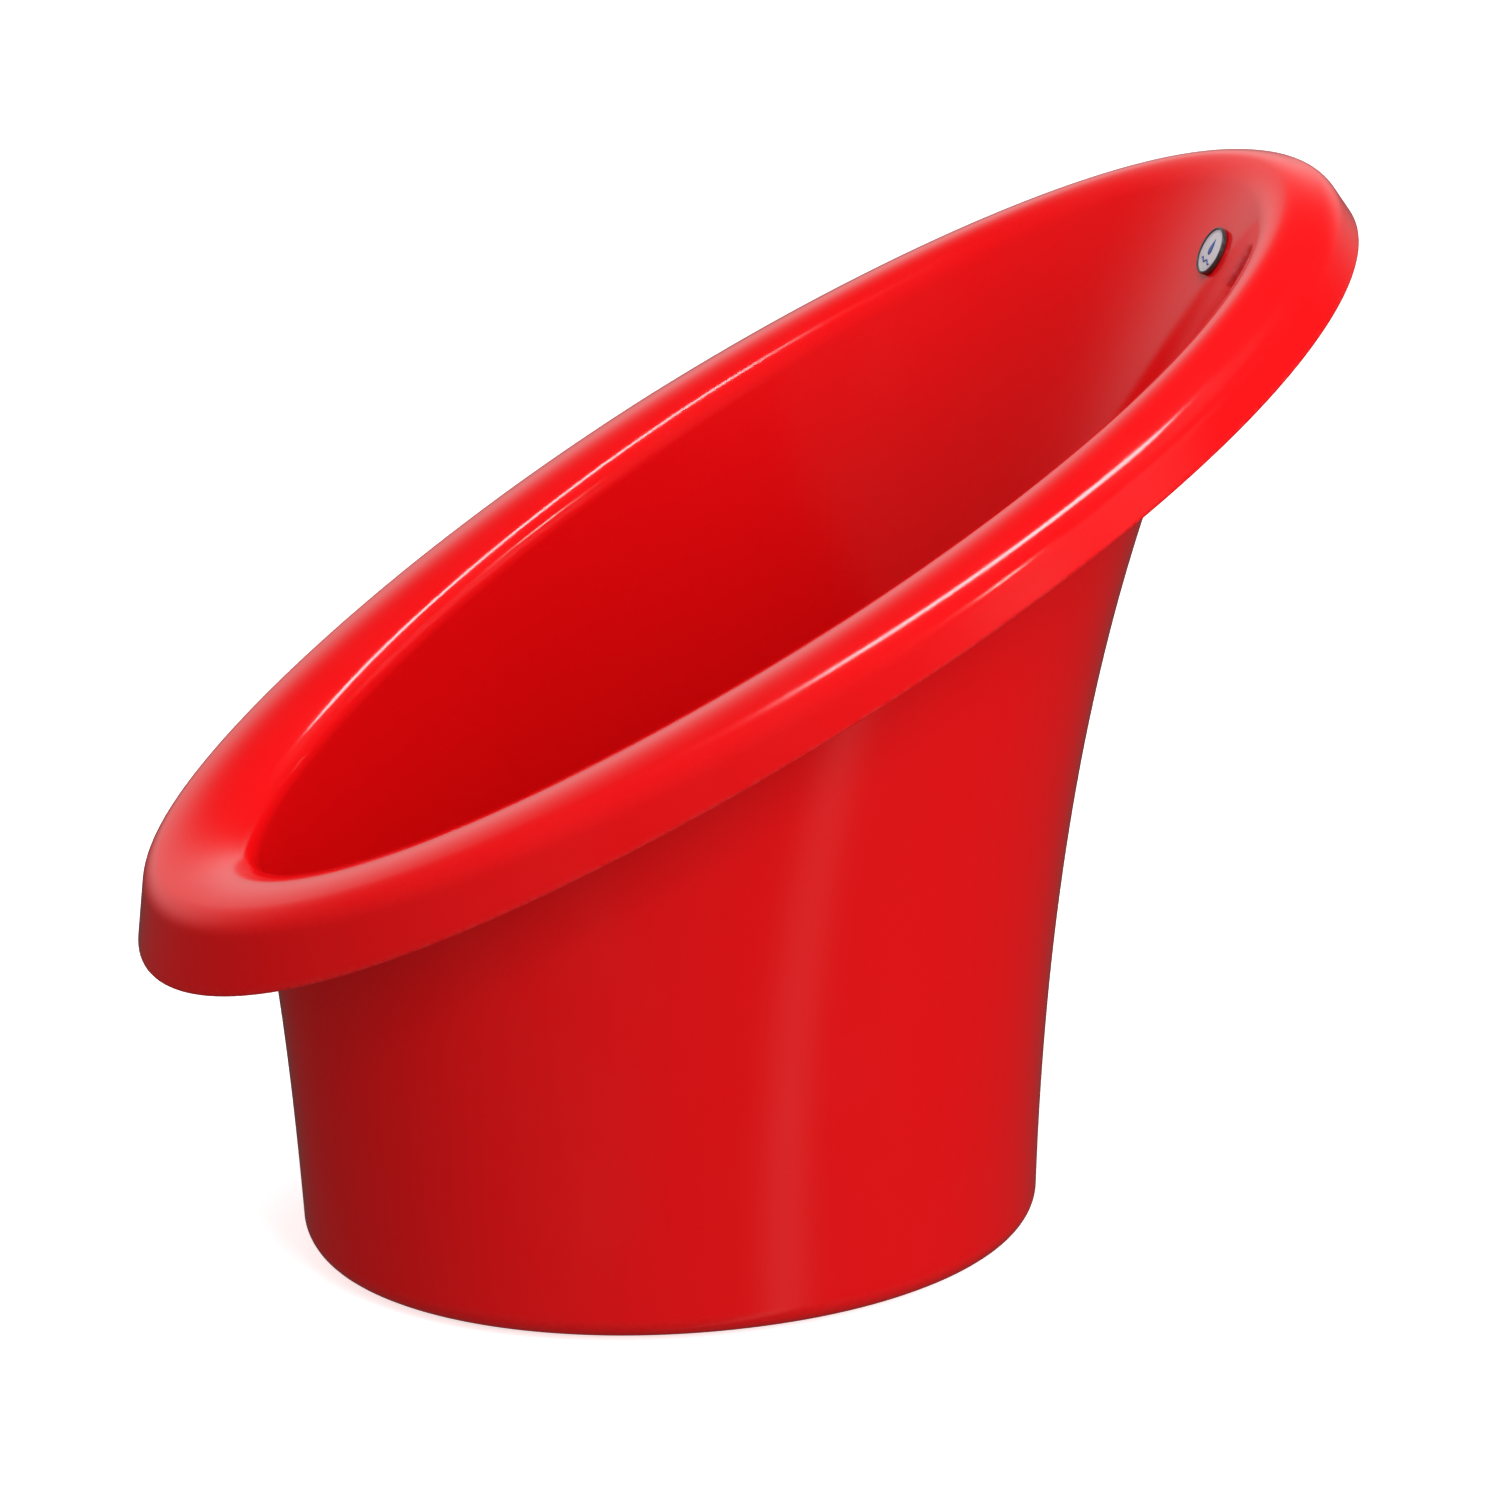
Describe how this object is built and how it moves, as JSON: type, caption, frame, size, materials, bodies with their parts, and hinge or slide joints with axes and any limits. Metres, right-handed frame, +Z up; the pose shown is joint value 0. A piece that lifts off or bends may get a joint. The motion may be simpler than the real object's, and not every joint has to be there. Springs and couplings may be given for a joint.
{
  "type": "baby bathtub",
  "caption": "Upright oval bucket-shaped baby bathtub with a slanted rolled rim, high back, low front, floor drain with lift-out plug and rubber feet.",
  "frame": {"origin": "on the ground, under the middle of the tub's overall envelope", "axes": "+X towards the high back, +Y to the left when facing the high back, +Z up"},
  "size_m": [0.4938, 0.3588, 0.4313],
  "materials": {
    "tub_red": "high gloss moulded plastic",
    "medallion": "gloss",
    "drain_white": "satin",
    "washer": "matte",
    "seal_rubber": "matte",
    "plug_rubber": "matte",
    "ring_steel": "polished wire",
    "foot_rubber": "matte"
  },
  "bodies": {
    "tub": {"tub_shell": "tub_red", "medallion": "medallion", "drain_flange": "drain_white", "drain_nut": "drain_white", "drain_washer": "washer", "drain_gasket": "seal_rubber", "foot_front_left": "foot_rubber", "foot_front_right": "foot_rubber", "foot_back_left": "foot_rubber", "foot_back_right": "foot_rubber"},
    "plug": {"drain_plug": "plug_rubber"},
    "ring": {"plug_ring": "ring_steel"}
  },
  "joints": [
    {"name": "plug_lift", "type": "slide", "parent": "tub", "child": "plug", "axis": [0, 0, 1], "range_m": [0, 0.46]},
    {"name": "ring_fold", "type": "hinge", "parent": "plug", "child": "ring", "pos_m": [-0.1, 0, 0.0195], "axis": [0, -1, 0], "range_deg": [0, 180]}
  ]
}
